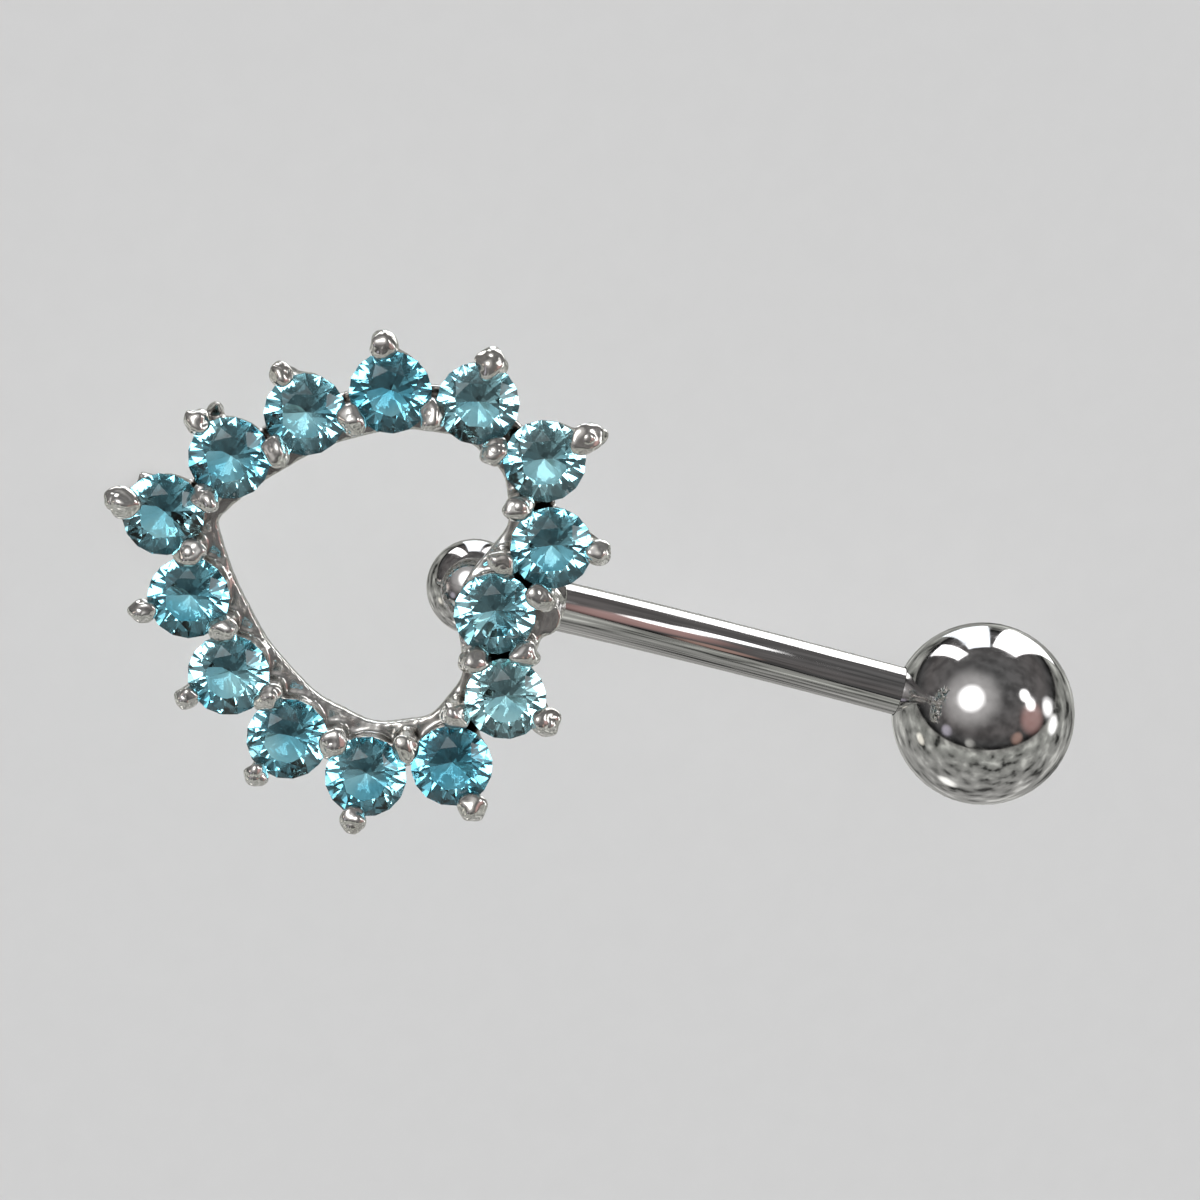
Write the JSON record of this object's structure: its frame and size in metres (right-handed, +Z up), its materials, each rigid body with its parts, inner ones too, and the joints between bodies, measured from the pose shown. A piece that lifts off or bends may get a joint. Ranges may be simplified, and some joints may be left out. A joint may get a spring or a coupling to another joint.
{
  "type": "navel ring",
  "caption": "Navel ring: curved bar with a fixed ball and a screw-on end ball, and an open heart of round prong-set blue stones fixed behind the fixed ball.",
  "frame": {"origin": "under the middle of the resting ring, on the surface that it lies on", "axes": "+X from the heart's tip to the end ball, +Y to the heart's left seen from its front with the bar up, +Z up from the surface"},
  "size_m": [0.0334, 0.0156, 0.0075],
  "materials": {
    "silver": "cast and polished silver",
    "steel": "mirror-polished surgical steel",
    "gem": "clear, faceted and polished"
  },
  "bodies": {
    "ring": {"heart_setting": "silver", "curved_bar": "steel", "stone_01": "gem", "stone_02": "gem", "stone_03": "gem", "stone_04": "gem", "stone_05": "gem", "stone_06": "gem", "stone_07": "gem", "stone_08": "gem", "stone_09": "gem", "stone_10": "gem", "stone_11": "gem", "stone_12": "gem", "stone_13": "gem", "stone_14": "gem"},
    "end_ball_body": {"end_ball": "steel"}
  },
  "joints": [
    {"name": "end_ball_slide", "type": "slide", "parent": "ring", "child": "end_ball_body", "axis": [0.9488, 0.0233, 0.315], "range_m": [0, 0.0026]}
  ]
}
